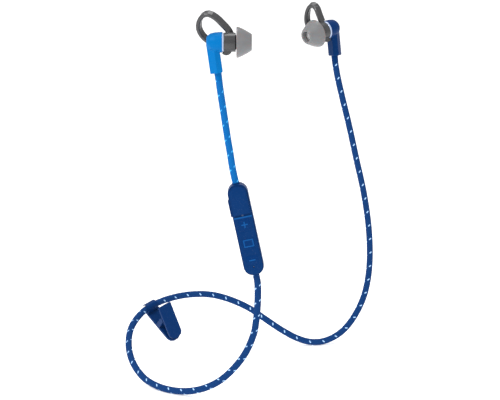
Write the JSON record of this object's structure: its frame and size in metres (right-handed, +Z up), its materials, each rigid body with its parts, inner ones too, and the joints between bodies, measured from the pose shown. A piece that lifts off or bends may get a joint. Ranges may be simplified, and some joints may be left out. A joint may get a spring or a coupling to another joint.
{
  "type": "in-ear earphones on a cord",
  "caption": "Sport in-ear earphones joined by one braided cord, with an inline control pod, soft ear stabilisers and a shirt clip.",
  "frame": {"origin": "middle of the left ear tip, where it sits in the left ear", "axes": "+X along the left nozzle into the ear, +Z up with the stems hanging down, +Y towards the right earbud's side"},
  "size_m": [0.1414, 0.1334, 0.208],
  "materials": {
    "light_blue_plastic": "satin moulded plastic",
    "dark_blue_plastic": "satin moulded plastic",
    "light_blue_rubber": "matt rubber",
    "dark_blue_rubber": "matt rubber",
    "pale_trim": "glossy",
    "grey_plastic": "satin",
    "steel": "bare metal",
    "magnet": "plated",
    "copper": "enamelled wire",
    "film": "thin film",
    "grey_silicone": "matt silicone",
    "tip_silicone": "translucent matt silicone",
    "circuit_board": "solder resist",
    "battery_foil": "foil pouch",
    "foam": "open foam",
    "clear_plastic": "clear",
    "light_blue_braid": "woven braid with reflective flecks",
    "dark_blue_braid": "woven braid with reflective flecks"
  },
  "bodies": {
    "earphones": {"left_housing": "light_blue_plastic", "left_trim_ring": "pale_trim", "left_front_housing": "grey_plastic", "left_nozzle_mesh": "steel", "left_driver_basket": "steel", "left_driver_magnet": "magnet", "left_voice_coil": "copper", "left_diaphragm": "film", "left_stabiliser": "grey_silicone", "left_strain_relief": "light_blue_rubber", "right_housing": "dark_blue_plastic", "right_trim_ring": "pale_trim", "right_front_housing": "grey_plastic", "right_nozzle_mesh": "steel", "right_driver_basket": "steel", "right_driver_magnet": "magnet", "right_voice_coil": "copper", "right_diaphragm": "film", "right_stabiliser": "grey_silicone", "right_strain_relief": "dark_blue_rubber", "pod_front_shell": "dark_blue_plastic", "pod_rear_shell": "dark_blue_plastic", "circuit_board": "circuit_board", "dome_switches": "steel", "radio_shield": "steel", "battery": "battery_foil", "battery_pad": "foam", "charging_socket": "steel", "microphone": "steel", "light_pipe": "clear_plastic", "upper_grommet": "dark_blue_rubber", "lower_grommet": "dark_blue_rubber", "left_cord": "light_blue_braid", "main_cord": "dark_blue_braid"},
    "left_ear_tip": {"left_ear_tip": "tip_silicone"},
    "right_ear_tip": {"right_ear_tip": "tip_silicone"},
    "volume_up_key": {"volume_up_key": "dark_blue_rubber"},
    "centre_key": {"centre_key": "dark_blue_rubber"},
    "volume_down_key": {"volume_down_key": "dark_blue_rubber"},
    "port_cover": {"port_cover": "dark_blue_rubber"},
    "clip_body": {"clip_body": "dark_blue_plastic", "clip_pin": "steel", "clip_spring": "steel"},
    "clip_jaw": {"clip_jaw": "dark_blue_plastic"}
  },
  "joints": [
    {"name": "left_tip_pull", "type": "slide", "parent": "earphones", "child": "left_ear_tip", "axis": [1, 0, 0], "range_m": [0, 0.008]},
    {"name": "right_tip_pull", "type": "slide", "parent": "earphones", "child": "right_ear_tip", "axis": [-0.7708, -0.6157, -0.1638], "range_m": [0, 0.008]},
    {"name": "volume_up_key_press", "type": "slide", "parent": "earphones", "child": "volume_up_key", "axis": [0, 1, 0], "range_m": [0, 0.0003], "stiffness_N_per_m": 400, "springref_m": -0.0005},
    {"name": "centre_key_press", "type": "slide", "parent": "earphones", "child": "centre_key", "axis": [0, 1, 0], "range_m": [0, 0.0003], "stiffness_N_per_m": 400, "springref_m": -0.0005},
    {"name": "volume_down_key_press", "type": "slide", "parent": "earphones", "child": "volume_down_key", "axis": [0, 1, 0], "range_m": [0, 0.0003], "stiffness_N_per_m": 400, "springref_m": -0.0005},
    {"name": "port_cover_hinge", "type": "hinge", "parent": "earphones", "child": "port_cover", "pos_m": [-0.00833, -0.0018, -0.08397], "axis": [0, 1, 0], "range_deg": [0, 100]},
    {"name": "clip_turn", "type": "hinge", "parent": "earphones", "child": "clip_body", "pos_m": [-0.0532, 0.0639, -0.1621], "axis": [0.7009, 0.6769, 0.225], "range_deg": [-30, 30]},
    {"name": "clip_jaw_hinge", "type": "hinge", "parent": "clip_body", "child": "clip_jaw", "pos_m": [-0.04413, 0.05596, -0.16646], "axis": [-0.7009, -0.6769, -0.225], "range_deg": [0, 18], "stiffness_Nm_per_rad": 0.02, "springref_deg": -17.19}
  ]
}
